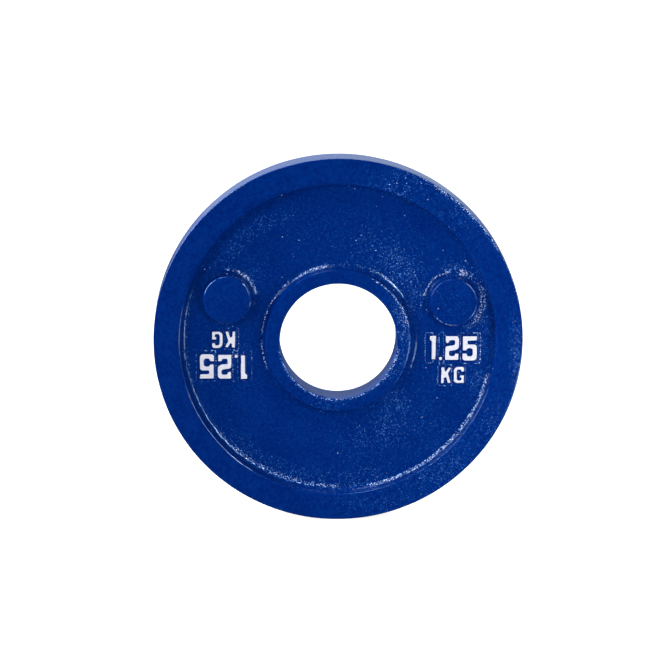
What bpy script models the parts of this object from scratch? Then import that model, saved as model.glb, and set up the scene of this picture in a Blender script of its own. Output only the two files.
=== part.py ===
"""A small calibrated weight plate of painted cast steel, with its calibration ports and what they hold.

Metres, +Z up. The plate stands upright with its axis along Y and its front towards -Y.
The origin is on the bore's axis, halfway through the thickness.
"""

import math

import bmesh
import bpy
from mathutils import Vector

# Plate casting: diameters and radii are about the bore's axis.
OUTER_DIAMETER = 0.160
BORE_DIAMETER = 0.0506
PLATE_THICKNESS = 0.014
WEB_THICKNESS = 0.0052
RIM_FACE_WIDTH = 0.0115
HUB_FACE_WIDTH = 0.0061
WALL_DRAFT = math.radians(9.0)
RIM_ROOT_FILLET = 0.0026
HUB_ROOT_FILLET = 0.0034
RIM_OUTER_EDGE = 0.0005
RIM_INNER_EDGE = 0.0010
HUB_EDGE = 0.0011
BORE_CHAMFER = 0.0004

# Bosses of the calibration ports: each has its direction from the bore's axis, measured from +X towards +Z,
# and the distance left between its face and the rim's. The two bosses aren't quite level with each other.
BOSS_SEATS = {"left": (math.radians(159.0), 0.0068), "right": (math.radians(18.6), 0.0054)}
BOSS_FACE_RADIUS = 0.0103
BOSS_EDGE = 0.0009
BOSS_ROOT_FILLET = 0.0022
BOSS_SINK = 0.0002

# Port: a blind tapped hole from the back, closed by a hex socket plug.
THREAD_DIAMETER = 0.014
PORT_FLOOR_THICKNESS = 0.0024
PORT_CHAMFER = 0.0006
PLUG_LENGTH = 0.0055
PLUG_SETBACK = 0.0006
PLUG_CHAMFER = 0.0006
SOCKET_ACROSS_FLATS = 0.006
SOCKET_DEPTH = 0.0034
TRIM_DISC_THICKNESS = 0.0010
BALLAST_PLAY = 0.0006
BALLAST_CHAMFER = 0.0004

# Gap left between pieces that touch, and how far a cutter runs past what it cuts.
CLEARANCE = 0.0003
OVERRUN = 0.002

PLATE_SEGMENTS = 96
BOSS_SEGMENTS = 40

# Finishes: linear colour, roughness and metallic value.
BLUE_PAINT = ((0.0015, 0.027, 0.205), 0.36, 0.0)
ZINC_STEEL = ((0.58, 0.58, 0.56), 0.32, 1.0)
BARE_STEEL = ((0.36, 0.35, 0.34), 0.45, 1.0)


def clear_scene():
    for obj in list(bpy.data.objects):
        bpy.data.objects.remove(obj, do_unlink=True)


def finish(name, look):
    """A Principled material from a (colour, roughness, metallic) look."""
    colour, roughness, metallic = look
    material = bpy.data.materials.new(name)
    material.use_nodes = True
    shader = material.node_tree.nodes["Principled BSDF"]
    shader.inputs["Base Color"].default_value = (*colour, 1.0)
    shader.inputs["Roughness"].default_value = roughness
    shader.inputs["Metallic"].default_value = metallic
    material.diffuse_color = (*colour, 1.0)
    return material


def round_corner(before, corner, after, radius, steps):
    """The arc that touches both sides of a corner. One step makes a chamfer."""
    to_before = before - corner
    to_after = after - corner
    half_angle = to_before.angle(to_after) / 2
    room = 0.48 * min(to_before.length, to_after.length)
    run = min(radius / math.tan(half_angle), room)
    radius = run * math.tan(half_angle)
    middle = (to_before.normalized() + to_after.normalized()).normalized()
    centre = corner + middle * (radius / math.sin(half_angle))
    start = corner + to_before.normalized() * run - centre
    end = corner + to_after.normalized() * run - centre
    sweep = start.angle(end)
    points = []
    for step in range(steps + 1):
        share = step / steps
        spoke = start * math.sin((1 - share) * sweep) + end * math.sin(share * sweep)
        points.append(centre + spoke / math.sin(sweep))
    return points


def rounded(corners, closed):
    """A turned profile from corners (radius, along, fillet radius, steps); no fillet keeps a corner sharp."""
    places = [Vector((radius, along)) for radius, along, _, _ in corners]
    profile = []
    for index, (_, _, fillet, steps) in enumerate(corners):
        is_end = not closed and index in (0, len(corners) - 1)
        if fillet == 0 or is_end:
            profile.append(places[index])
            continue
        following = places[(index + 1) % len(places)]
        profile += round_corner(places[index - 1], places[index], following, fillet, steps)
    return profile


def mirrored(front):
    """Front corners, then the same corners at the back in reverse order."""
    back = [(radius, -along, fillet, steps) for radius, along, fillet, steps in reversed(front)]
    return front + back


def turned(name, corners, segments, closed=False):
    """An object made by turning a profile about its own Y axis."""
    shape = bmesh.new()
    profile = rounded(corners, closed)
    points = [shape.verts.new((place.x, place.y, 0.0)) for place in profile]
    for first, second in zip(points, points[1:]):
        shape.edges.new((first, second))
    if closed:
        shape.edges.new((points[-1], points[0]))
    bmesh.ops.spin(
        shape,
        geom=shape.verts[:] + shape.edges[:],
        cent=(0.0, 0.0, 0.0),
        axis=(0.0, 1.0, 0.0),
        angle=2 * math.pi,
        steps=segments,
        use_duplicate=False,
    )
    bmesh.ops.remove_doubles(shape, verts=shape.verts[:], dist=1e-6)
    bmesh.ops.recalc_face_normals(shape, faces=shape.faces[:])
    return as_object(name, shape)


def as_object(name, shape):
    """The bmesh as an object in the scene."""
    mesh = bpy.data.meshes.new(name)
    shape.to_mesh(mesh)
    shape.free()
    obj = bpy.data.objects.new(name, mesh)
    bpy.context.scene.collection.objects.link(obj)
    return obj


def dress(obj, material):
    """Gives a piece its material and smooth round faces."""
    obj.data.materials.append(material)
    obj.data.shade_smooth()
    obj.data.set_sharp_from_angle(angle=math.radians(32))


def combine(obj, helper, operation):
    """Adds a Boolean to obj and leaves its helper out of the model."""
    helper.hide_render = True
    helper.display_type = "WIRE"
    modifier = obj.modifiers.new(helper.name, "BOOLEAN")
    modifier.operation = operation
    modifier.object = helper


def place(obj, centre, parent):
    """Puts a turned piece on a port's axis."""
    across, up = centre
    obj.location = (across, 0.0, up)
    obj.parent = parent


def wall_run():
    """How far a drafted wall leans out between a face and the web."""
    return (PLATE_THICKNESS - WEB_THICKNESS) / 2 * math.tan(WALL_DRAFT)


def rim_inner_radius():
    """Where the rim's face ends, before its edge is rounded."""
    return OUTER_DIAMETER / 2 - RIM_FACE_WIDTH


def boss_centre(side):
    """The axis of one boss and its port, as (across, up) from the bore's axis."""
    direction, room_to_rim = BOSS_SEATS[side]
    distance = rim_inner_radius() - room_to_rim - BOSS_FACE_RADIUS
    return distance * math.cos(direction), distance * math.sin(direction)


def casting_corners():
    """The section of hub, web and rim, from the bore's front corner round to its back corner."""
    face = -PLATE_THICKNESS / 2
    web = -WEB_THICKNESS / 2
    bore = BORE_DIAMETER / 2
    hub = bore + HUB_FACE_WIDTH
    rim_inner = rim_inner_radius()
    front = [
        (bore, face, BORE_CHAMFER, 1),
        (hub, face, HUB_EDGE, 2),
        (hub + wall_run(), web, HUB_ROOT_FILLET, 4),
        (rim_inner - wall_run(), web, RIM_ROOT_FILLET, 3),
        (rim_inner, face, RIM_INNER_EDGE, 2),
        (OUTER_DIAMETER / 2, face, RIM_OUTER_EDGE, 2),
    ]
    return mirrored(front)


def boss_corners():
    """A spool through the web: a round boss on each side, whose flared foot dips just under the web."""
    face = -PLATE_THICKNESS / 2
    foot = -WEB_THICKNESS / 2 + BOSS_SINK
    foot_radius = BOSS_FACE_RADIUS + wall_run()
    front = [
        (0.0, face, 0, 0),
        (BOSS_FACE_RADIUS, face, BOSS_EDGE, 2),
        (foot_radius, foot, BOSS_ROOT_FILLET, 3),
        (foot_radius + 2 * BOSS_ROOT_FILLET, foot, 0, 0),
    ]
    return mirrored(front)


def port_floor():
    """Where along Y the blind port ends, just behind the front boss's face."""
    return -PLATE_THICKNESS / 2 + PORT_FLOOR_THICKNESS


def port_corners():
    """The cutter of a port: a flat floor, a tapped wall and a countersunk mouth in the back boss."""
    mouth = PLATE_THICKNESS / 2
    wall = THREAD_DIAMETER / 2 + CLEARANCE
    return [
        (0.0, port_floor(), 0, 0),
        (wall, port_floor(), 0, 0),
        (wall, mouth - PORT_CHAMFER, 0, 0),
        (wall + PORT_CHAMFER + OVERRUN, mouth + OVERRUN, 0, 0),
        (0.0, mouth + OVERRUN, 0, 0),
    ]


def disc_corners(radius, low, high, chamfer):
    """A plain turned disc with both its edges broken."""
    return [(0.0, low, 0, 0), (radius, low, chamfer, 1), (radius, high, chamfer, 1), (0.0, high, 0, 0)]


def hexagon_cutter(name, low, high):
    """A hexagonal prism along Y for a plug's socket."""
    corner_radius = SOCKET_ACROSS_FLATS / 2 / math.cos(math.radians(30))
    shape = bmesh.new()
    ring = []
    for corner in range(6):
        angle = math.radians(60 * corner)
        ring.append(shape.verts.new((corner_radius * math.cos(angle), low, corner_radius * math.sin(angle))))
    base = shape.faces.new(ring)
    grown = bmesh.ops.extrude_face_region(shape, geom=[base])
    moved = [item for item in grown["geom"] if isinstance(item, bmesh.types.BMVert)]
    bmesh.ops.translate(shape, verts=moved, vec=(0.0, high - low, 0.0))
    bmesh.ops.recalc_face_normals(shape, faces=shape.faces[:])
    return as_object(name, shape)


def make_casting(parent, paint):
    """The one-piece casting: rim, web, hub and the two bosses with their blind ports."""
    casting = turned("plate_casting", casting_corners(), PLATE_SEGMENTS, closed=True)
    casting.parent = parent
    for side in BOSS_SEATS:
        boss = turned(f"boss_{side}", boss_corners(), BOSS_SEGMENTS)
        place(boss, boss_centre(side), parent)
        combine(casting, boss, "UNION")
    for side in BOSS_SEATS:
        port = turned(f"port_cutter_{side}", port_corners(), BOSS_SEGMENTS)
        place(port, boss_centre(side), parent)
        combine(casting, port, "DIFFERENCE")
    dress(casting, paint)


def make_port_contents(side, parent, zinc, bare):
    """What one port holds, from its mouth inwards: the plug, a trim disc and the ballast slug."""
    centre = boss_centre(side)
    plug_face = PLATE_THICKNESS / 2 - PLUG_SETBACK
    plug_end = plug_face - PLUG_LENGTH
    disc_high = plug_end - CLEARANCE
    disc_low = disc_high - TRIM_DISC_THICKNESS
    slug_high = disc_low - CLEARANCE
    slug_low = port_floor() + CLEARANCE
    loose_radius = THREAD_DIAMETER / 2 - BALLAST_PLAY

    plug_shape = disc_corners(THREAD_DIAMETER / 2, plug_end, plug_face, PLUG_CHAMFER)
    plug = turned(f"calibration_plug_{side}", plug_shape, BOSS_SEGMENTS)
    place(plug, centre, parent)
    socket = hexagon_cutter(f"socket_cutter_{side}", plug_face - SOCKET_DEPTH, plug_face + OVERRUN)
    place(socket, centre, parent)
    combine(plug, socket, "DIFFERENCE")
    dress(plug, zinc)

    disc_shape = disc_corners(loose_radius, disc_low, disc_high, BALLAST_CHAMFER / 2)
    disc = turned(f"trim_disc_{side}", disc_shape, BOSS_SEGMENTS)
    place(disc, centre, parent)
    dress(disc, bare)

    slug_shape = disc_corners(loose_radius, slug_low, slug_high, BALLAST_CHAMFER)
    slug = turned(f"ballast_slug_{side}", slug_shape, BOSS_SEGMENTS)
    place(slug, centre, parent)
    dress(slug, bare)


def main():
    clear_scene()
    axis = bpy.data.objects.new("plate_axis", None)
    bpy.context.scene.collection.objects.link(axis)
    make_casting(axis, finish("blue_paint", BLUE_PAINT))
    for side in BOSS_SEATS:
        zinc = finish(f"zinc_steel_{side}", ZINC_STEEL)
        bare = finish(f"bare_steel_{side}", BARE_STEEL)
        make_port_contents(side, axis, zinc, bare)


main()
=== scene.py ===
"""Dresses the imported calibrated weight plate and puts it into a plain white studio.

The casting gets a fine skin with its edges, fillets, raised weight figures and rough cast grain. The plugs
get their turned faces and threads, and every piece gets its finish. Metres, +Z up. The plate's axis is Y and
its front looks towards -Y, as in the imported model. Values are in metres unless their class says otherwise.
"""

import logging
import math
from dataclasses import dataclass
from enum import Enum
from typing import Any

import bmesh
import bpy
import numpy as np
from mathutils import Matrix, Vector
from mathutils.geometry import delaunay_2d_cdt

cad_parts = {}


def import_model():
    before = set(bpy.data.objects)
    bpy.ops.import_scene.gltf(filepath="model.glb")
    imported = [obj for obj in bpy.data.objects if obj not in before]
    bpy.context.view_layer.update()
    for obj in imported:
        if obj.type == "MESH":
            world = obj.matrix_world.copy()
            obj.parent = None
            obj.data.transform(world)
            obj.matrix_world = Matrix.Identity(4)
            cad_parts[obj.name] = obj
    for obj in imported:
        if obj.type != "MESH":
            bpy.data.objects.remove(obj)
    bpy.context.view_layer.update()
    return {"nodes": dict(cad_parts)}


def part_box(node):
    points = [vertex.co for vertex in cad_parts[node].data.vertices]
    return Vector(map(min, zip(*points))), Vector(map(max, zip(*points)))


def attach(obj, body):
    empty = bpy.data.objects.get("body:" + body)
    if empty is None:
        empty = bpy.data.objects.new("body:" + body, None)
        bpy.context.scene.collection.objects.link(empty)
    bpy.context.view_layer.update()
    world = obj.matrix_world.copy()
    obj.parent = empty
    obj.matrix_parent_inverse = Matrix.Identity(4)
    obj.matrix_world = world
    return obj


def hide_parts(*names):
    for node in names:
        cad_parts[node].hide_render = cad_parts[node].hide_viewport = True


LOG = logging.getLogger("plate")
PICTURE_WIDTH = 661
MM = 0.001
FULL_TURN = 2 * math.pi
SIDES = ("left", "right")

# Points as close as this are one, and a comparison of radii has this much room for rounding.
SAME_POINT = 2e-7
ROUNDING_ROOM = 1e-6
# How close two points may be in a face's triangulation, and a distance beyond any on the plate.
CLOSEST_IN_MM = 0.02
FAR_OFF = 1.0

Tone = tuple[float, float, float, float]
Place = tuple[float, float]
Settings = dict[str, Any]
Inputs = dict[Any, Any]

BORE_AXIS: Place = (0.0, 0.0)


class Side(Enum):
    """Which face of the plate a surface belongs to, with the sign of its Y."""

    FRONT = -1.0
    BACK = 1.0


class Shader:
    """Builds one material's or world's node tree."""

    def __init__(self, tree: bpy.types.NodeTree) -> None:
        """Empties the tree.

        Args:
            tree: the node tree of a material or world.
        """
        self.tree = tree
        tree.nodes.clear()

    def node(self, kind: str, settings: Settings, inputs: Inputs) -> bpy.types.Node:
        """Adds a node, sets it up and connects it.

        Args:
            kind: the node's type name.
            settings: its own properties, which are set first.
            inputs: its sockets by name or number, each with a value, a colour or a Signal.

        Returns:
            The new node.
        """
        node = self.tree.nodes.new(kind)
        for name, value in settings.items():
            setattr(node, name, value)
        for key, value in inputs.items():
            socket = node.inputs[key]
            if isinstance(value, Signal):
                self.tree.links.new(value.socket, socket)
            else:
                socket.default_value = value
        return node

    def signal(self, kind: str, settings: Settings, inputs: Inputs, output: Any = 0) -> "Signal":
        """Adds a node and returns one of its outputs as a Signal."""
        return Signal(self, self.node(kind, settings, inputs).outputs[output])

    def place(self) -> "Signal":
        """The point being shaded, in the object's own metres."""
        return self.signal("ShaderNodeTexCoord", {}, {}, "Object")

    def attribute(self, name: str) -> "Signal":
        """A number that the mesh carries on its points."""
        return self.signal("ShaderNodeAttribute", {"attribute_name": name}, {}, "Fac")

    def noise(self, at: "Signal", size: float, detail: float = 2.0, roughness: float = 0.5) -> "Signal":
        """Soft noise whose patches are about `size` metres across, from 0 to 1."""
        inputs = {"Vector": at, "Scale": 1.0 / size, "Detail": detail, "Roughness": roughness}
        return self.signal("ShaderNodeTexNoise", {"noise_dimensions": "3D"}, inputs, "Fac")

    def cells(self, at: "Signal", size: float, output: str) -> "Signal":
        """Irregular cells about `size` metres across; output is "Distance" or "Color"."""
        inputs = {"Vector": at, "Scale": 1.0 / size}
        return self.signal("ShaderNodeTexVoronoi", {"feature": "F1"}, inputs, output)

    def mix(self, factor: Any, first: Any, second: Any) -> "Signal":
        """A colour between two colours."""
        inputs = {0: factor, 6: first, 7: second}
        return self.signal("ShaderNodeMix", {"data_type": "RGBA"}, inputs, 2)

    def vector(self, operation: str, *values: Any) -> "Signal":
        """Vector arithmetic.

        Args:
            operation: a Vector Math operation.
            values: vectors or Signals; SCALE takes its number last.

        Returns:
            The result.
        """
        inputs: Inputs = dict(enumerate(values))
        if operation == "SCALE":
            inputs = {0: values[0], "Scale": values[1]}
        return self.signal("ShaderNodeVectorMath", {"operation": operation}, inputs)

    def bump(self, height: "Signal", strength: float, depth: float) -> "Signal":
        """The normal of a surface that rises by `depth` metres where the height is 1."""
        inputs = {"Strength": strength, "Distance": depth, "Height": height}
        return self.signal("ShaderNodeBump", {}, inputs, "Normal")

    def finish(self, inputs: dict[str, Any]) -> "Signal":
        """A surface with colour, gloss and roughness of its own."""
        return self.signal("ShaderNodeBsdfPrincipled", {}, inputs)

    def chalk(self, tone: Tone) -> "Signal":
        """A plain matt surface."""
        return self.signal("ShaderNodeBsdfDiffuse", {}, {"Color": tone})

    def glow(self, tone: Tone, strength: Any) -> "Signal":
        """A surface that gives light, at a strength where 1 is white."""
        return self.signal("ShaderNodeEmission", {}, {"Color": tone, "Strength": strength})

    def blend(self, factor: Any, first: "Signal", second: "Signal") -> "Signal":
        """A surface between two surfaces."""
        return self.signal("ShaderNodeMixShader", {}, {0: factor, 1: first, 2: second})

    def ray(self, kind: str) -> "Signal":
        """1 for rays of a kind, such as "Is Camera Ray", and 0 for others."""
        return self.signal("ShaderNodeLightPath", {}, {}, kind)

    def output(self, kind: str, surface: "Signal") -> None:
        """Ends the tree in a material's or world's output node."""
        self.node(kind, {}, {"Surface": surface})


class Signal:
    """A shader socket that takes part in plain arithmetic."""

    def __init__(self, shader: Shader, socket: bpy.types.NodeSocket) -> None:
        """Wraps an output socket.

        Args:
            shader: the tree that the socket is in.
            socket: the output socket.
        """
        self.shader = shader
        self.socket = socket

    def _math(self, operation: str, *values: Any) -> "Signal":
        """A Math node on the values, which are numbers or Signals."""
        return self.shader.signal("ShaderNodeMath", {"operation": operation}, dict(enumerate(values)))

    def __add__(self, other: Any) -> "Signal":
        """This plus a number or Signal."""
        return self._math("ADD", self, other)

    def __radd__(self, other: Any) -> "Signal":
        """A number plus this."""
        return self._math("ADD", other, self)

    def __sub__(self, other: Any) -> "Signal":
        """This less a number or Signal."""
        return self._math("SUBTRACT", self, other)

    def __rsub__(self, other: Any) -> "Signal":
        """A number less this."""
        return self._math("SUBTRACT", other, self)

    def __mul__(self, other: Any) -> "Signal":
        """This times a number or Signal."""
        return self._math("MULTIPLY", self, other)

    def __rmul__(self, other: Any) -> "Signal":
        """A number times this."""
        return self._math("MULTIPLY", other, self)

    def __truediv__(self, other: Any) -> "Signal":
        """This divided by a number or Signal."""
        return self._math("DIVIDE", self, other)

    def __rtruediv__(self, other: Any) -> "Signal":
        """A number divided by this."""
        return self._math("DIVIDE", other, self)

    def __pow__(self, other: Any) -> "Signal":
        """This to a power."""
        return self._math("POWER", self, other)

    def highest(self, other: Any) -> "Signal":
        """The larger of this and another."""
        return self._math("MAXIMUM", self, other)

    def lowest(self, other: Any) -> "Signal":
        """The smaller of this and another."""
        return self._math("MINIMUM", self, other)

    def wave(self) -> "Signal":
        """The sine of this."""
        return self._math("SINE", self)

    def step(self, low: float, high: float) -> "Signal":
        """A smooth step from 0 to 1.

        Args:
            low: where it is 0.
            high: where it is 1. With low above high it falls instead of rising.

        Returns:
            The step.
        """
        settings = {"interpolation_type": "SMOOTHSTEP"}
        if low > high:
            inputs = {"Value": self, "From Min": high, "From Max": low, "To Min": 1.0, "To Max": 0.0}
        else:
            inputs = {"Value": self, "From Min": low, "From Max": high, "To Min": 0.0, "To Max": 1.0}
        return self.shader.signal("ShaderNodeMapRange", settings, inputs)

    def parts(self) -> tuple["Signal", "Signal", "Signal"]:
        """The X, Y and Z of a vector."""
        node = self.shader.node("ShaderNodeSeparateXYZ", {}, {"Vector": self})
        return tuple(Signal(self.shader, output) for output in node.outputs)


def colour(red: float, green: float, blue: float) -> Tone:
    """A linear colour for a socket."""
    return (red, green, blue, 1.0)


WHITE = colour(1.0, 1.0, 1.0)
RUST = colour(0.045, 0.050, 0.095)
BARE = colour(0.36, 0.28, 0.20)


def new_material(name: str) -> tuple[bpy.types.Material, Shader]:
    """A material with an empty tree and the builder for it."""
    material = bpy.data.materials.new(name)
    material.use_nodes = True
    return material, Shader(material.node_tree)


@dataclass(frozen=True)
class PaintChip:
    """A tiny bare or rusty spot on the front, `across` and `up` from the bore's axis in millimetres."""

    across: float
    up: float
    radius: float
    tone: Tone

    def mask(self, at: Signal) -> Signal:
        """A soft spot, from the squared distance to the chip's middle in radii.

        Args:
            at: the point being shaded.

        Returns:
            1 in the middle of the chip and 0 outside it and on the back.
        """
        across, along, up = at.parts()
        side = (across / MM - self.across) / self.radius
        rise = (up / MM - self.up) / self.radius
        return (side * side + rise * rise).step(1.0, 0.3) * (along / MM).step(-2.0, -2.4)


@dataclass(frozen=True)
class CastPaint:
    """Gloss paint over rough cast steel: smooth where it is machined, pebbled and glinting elsewhere."""

    deep: Tone = colour(0.0001, 0.0140, 0.141)
    bright: Tone = colour(0.0003, 0.0238, 0.190)
    gleam: Tone = colour(0.36, 0.63, 1.0)
    # Painted shade: the matt surface's colour is darkened towards this.
    painted_shade: Tone = colour(0.0, 0.004, 0.050)
    # Painted glints laid into the colour: a dim blue one, a brighter one and a white one.
    painted_glimmer: Tone = colour(0.006, 0.075, 0.330)
    painted_glint: Tone = colour(0.20, 0.38, 0.78)
    painted_white_glint: Tone = colour(0.55, 0.64, 0.92)
    chips: tuple[PaintChip, ...] = (
        PaintChip(42.6, 21.9, 0.45, RUST),
        PaintChip(-24.2, 64.0, 0.50, BARE),
        PaintChip(31.2, 19.2, 0.40, RUST),
    )
    mottle_size: float = 0.0013
    cloud_size: float = 0.011
    painted_glint_size: float = 0.00040
    painted_white_glint_spacing: float = 0.0024
    pebble_size: float = 0.0011
    ripple_size: float = 0.0036
    facet_size: float = 0.00034
    cluster_size: float = 0.0042
    bump_depth: float = 0.00007

    def material(self) -> bpy.types.Material:
        """Makes the material.

        It reads the numbers that the casting carries: its grain, its distance outside a tile, whether it is
        the bore, and how matt it is with painted shade. A band along each tile's edge adds to the grain and
        its painted glints. The clear coat is broken up where there is grain, and ends at the bore.

        Returns:
            A glossy paint that goes over to a matt one with painted shade where the mask says.
        """
        material, shader = new_material("blue_gloss_on_cast_steel")
        at = shader.place()
        tile = shader.attribute("tile")
        bore = shader.attribute("bore")
        edging = tile.step(0.30, 0.10) * tile.step(-0.30, -0.10)
        grain = shader.attribute("grain") + edging * 0.56
        mottle = shader.noise(at, self.mottle_size, 4.0, 0.6)
        base = self._base(shader, at, mottle, grain, bore)
        facets = shader.cells(at, self.facet_size, "Color")
        _, chance, chalky = facets.parts()
        spread = self._spread(shader, at, grain, chance)
        tilt = shader.vector("SCALE", shader.vector("SUBTRACT", facets, (0.5, 0.5, 0.5)), spread)
        bump = shader.bump(self._height(shader, at, grain, tile), 1.0, self.bump_depth)
        normal = shader.vector("NORMALIZE", shader.vector("ADD", bump, tilt))
        broken = chalky.step(0.35, 0.80) * (0.45 + grain * 1.4)
        smooth = grain.step(0.60, 0.10)
        glossy = shader.finish(
            {
                "Base Color": base,
                "Roughness": 0.07 + mottle * 0.04 + bore * 0.34,
                "Specular IOR Level": 1.0,
                "Specular Tint": self.gleam,
                "Coat Weight": (1 - broken).highest(0.0) * (0.22 + smooth * 0.43) * (1 - bore),
                "Coat Roughness": 0.05,
                "Coat IOR": 1.5,
                "Normal": normal,
            }
        )
        # The matt surface is darkened towards the painted shade.
        matt = shader.finish(
            {
                "Base Color": shader.mix(0.30, base, self.painted_shade),
                "Roughness": 0.6,
                "Specular IOR Level": 0.0,
                "Normal": normal,
            }
        )
        shader.output("ShaderNodeOutputMaterial", shader.blend(shader.attribute("matt_painted_shade"), glossy, matt))
        return material

    def _base(self, shader: Shader, at: Signal, mottle: Signal, grain: Signal, bore: Signal) -> Signal:
        """The paint's colour, with painted glints in it.

        Two noises take it from deep to bright. Each tiny cell has a chance number. Where that and a share
        of the grain pass 0.94, the cell goes over to a dim and then a bright painted glint. Painted white
        glints are the cells whose second number and half the grain pass 1.3, and rare dots where there is
        any grain. The chips lie on top.

        Args:
            shader: the tree.
            at: the point being shaded.
            mottle: the fine noise.
            grain: how coarse the casting is, which also sets where the painted glints go.
            bore: 1 on the bore's wall, which has no rare dots.

        Returns:
            The colour.
        """
        clouds = shader.noise(at, self.cloud_size, 3.0)
        tone = (mottle - 0.5) * 2.6 + (clouds - 0.5) * 0.8 + 0.5
        base = shader.mix(tone.step(0.0, 1.0), self.deep, self.bright)
        chance, white_glint_chance, _ = shader.cells(at, self.painted_glint_size, "Color").parts()
        peak = ((chance + grain * 0.35 - 0.94) * 2.5).highest(0.0)
        base = shader.mix(peak.step(0.0, 0.6), base, self.painted_glimmer)
        base = shader.mix((peak**4.0 * 2.0).lowest(1.0), base, self.painted_glint)
        dots = shader.cells(at, self.painted_white_glint_spacing, "Distance").step(0.11, 0.05)
        rare, _, _ = shader.cells(at, self.painted_white_glint_spacing, "Color").parts()
        sparse = rare.step(0.84, 1.0) * grain.step(0.06, 0.12) * (1 - bore)
        white = (white_glint_chance + grain * 0.5).step(1.30, 1.39)
        base = shader.mix((dots * sparse).highest(white), base, self.painted_white_glint)
        for chip in self.chips:
            base = shader.mix(chip.mask(at), base, chip.tone)
        return base

    def _height(self, shader: Shader, at: Signal, grain: Signal, tile: Signal) -> Signal:
        """The bump's height: pebbles that grow with the grain, soft ripples and the tiles' faint steps."""
        pebbles = shader.noise(at, self.pebble_size, 3.0, 0.55)
        ripples = shader.noise(at, self.ripple_size, 2.0)
        return pebbles * (0.40 + grain * 2.6) + ripples * 0.6 + tile.step(0.16, -0.16) * 0.9

    def _spread(self, shader: Shader, at: Signal, grain: Signal, chance: Signal) -> Signal:
        """How far a facet may tilt: a little, more with the grain, and most in clusters of lively facets."""
        clusters = shader.noise(at, self.cluster_size, 3.0, 0.6).step(0.34, 0.62)
        lively = (chance + grain * (0.46 + clusters * 0.25)).step(1.0, 1.42)
        return 0.04 + grain * 0.10 + lively * 0.80


@dataclass(frozen=True)
class FigurePaint:
    """White enamel rolled onto the tops of the raised figures, thin and a little uneven."""

    clean: Tone = colour(0.66, 0.68, 0.78)
    worn: Tone = colour(0.60, 0.625, 0.735)
    patch_size: float = 0.0014
    dimple_size: float = 0.0012
    dimple_depth: float = 0.00004

    def material(self) -> bpy.types.Material:
        """Makes the material.

        Returns:
            A pale enamel with slightly worn patches and dimples.
        """
        material, shader = new_material("white_figure_enamel")
        at = shader.place()
        patches = shader.noise(at, self.patch_size, 4.0, 0.6)
        surface = shader.finish(
            {
                "Base Color": shader.mix(patches.step(0.35, 0.65), self.worn, self.clean),
                "Roughness": 0.34 + patches * 0.15,
                "Normal": shader.bump(shader.noise(at, self.dimple_size) * 0.5, 0.5, self.dimple_depth),
            }
        )
        shader.output("ShaderNodeOutputMaterial", surface)
        return material


@dataclass(frozen=True)
class TurnedSteel:
    """Turned steel with fine rings about each port's axis. Plated steel is brighter than bare steel."""

    name: str
    dark: Tone
    light: Tone
    roughness: float
    centres: tuple[Place, ...]
    ring_pitch: float = 0.00025
    ring_depth: float = 0.00001
    pit_size: float = 0.0006
    stain_size: float = 0.0022

    def material(self) -> bpy.types.Material:
        """Makes the material.

        Returns:
            Metal whose rings are the sine of (distance from the nearest port's axis / pitch) full turns.
        """
        material, shader = new_material(self.name)
        at = shader.place()
        across, _, up = at.parts()
        distance = None
        for centre_across, centre_up in self.centres:
            side = across - centre_across
            rise = up - centre_up
            radius = (side * side + rise * rise) ** 0.5
            distance = radius if distance is None else distance.lowest(radius)
        rings = (distance * (FULL_TURN / self.ring_pitch)).wave() * 0.5 + 0.5
        height = rings * 0.4 + shader.noise(at, self.pit_size) * 0.3
        stains = shader.noise(at, self.stain_size, 4.0, 0.6)
        surface = shader.finish(
            {
                "Base Color": shader.mix(stains.step(0.3, 0.7), self.dark, self.light),
                "Metallic": 1.0,
                "Roughness": self.roughness + stains * 0.16,
                "Normal": shader.bump(height, 0.6, self.ring_depth),
            }
        )
        shader.output("ShaderNodeOutputMaterial", surface)
        return material


@dataclass(frozen=True)
class Shoulder:
    """The side of a raised face in section: a rounded edge, a drafted wall and a fillet onto the web."""

    face: float
    web: float
    draft: float
    edge: float
    root: float
    edge_steps: int = 5
    wall_steps: int = 5
    root_steps: int = 7

    def section(self) -> tuple[np.ndarray, np.ndarray]:
        """Works out the section.

        Each arc's centre lies its radius away from both lines that it touches, which puts the touching
        point radius / tan(half the corner's angle) from the corner. The angle then sweeps evenly, and the
        wall between the arcs is a straight line.

        Returns:
            Distances out from the face's corner, rising, and the heights there, from face down to web.
        """
        run = (self.face - self.web) * math.tan(self.draft)
        half_corner = (math.pi / 2 + self.draft) / 2
        sweep = math.pi / 2 - self.draft
        edge_reach = self.edge / math.tan(half_corner)
        root_reach = self.root / math.tan(half_corner)
        edge_angle = np.linspace(0.0, sweep, self.edge_steps + 1)
        root_angle = np.linspace(sweep, 0.0, self.root_steps + 1)
        edge_out = -edge_reach + self.edge * np.sin(edge_angle)
        edge_up = self.face - self.edge + self.edge * np.cos(edge_angle)
        root_out = run + root_reach - self.root * np.sin(root_angle)
        root_up = self.web + self.root - self.root * np.cos(root_angle)
        share = np.linspace(0.0, 1.0, self.wall_steps + 1)[1:-1]
        wall_out = edge_out[-1] + (root_out[0] - edge_out[-1]) * share
        wall_up = edge_up[-1] + (root_up[0] - edge_up[-1]) * share
        out = np.concatenate([edge_out, wall_out, root_out])
        up = np.concatenate([edge_up, wall_up, root_up])
        return out, up

    def height(self, distance: np.ndarray) -> np.ndarray:
        """The height at a distance out from the face's corner, read off between the section's points."""
        out, up = self.section()
        return np.interp(distance, out, up)


def rings(radii: np.ndarray, count: int, centre: Place = BORE_AXIS) -> np.ndarray:
    """Rings of points, one after another: centre + radius * (cosine, sine) of evenly spaced angles."""
    angle = np.arange(count) * (FULL_TURN / count)
    spokes = np.stack([np.cos(angle), np.sin(angle)], axis=1)
    return (np.array(centre) + radii[:, None, None] * spokes).reshape(-1, 2)


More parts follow.
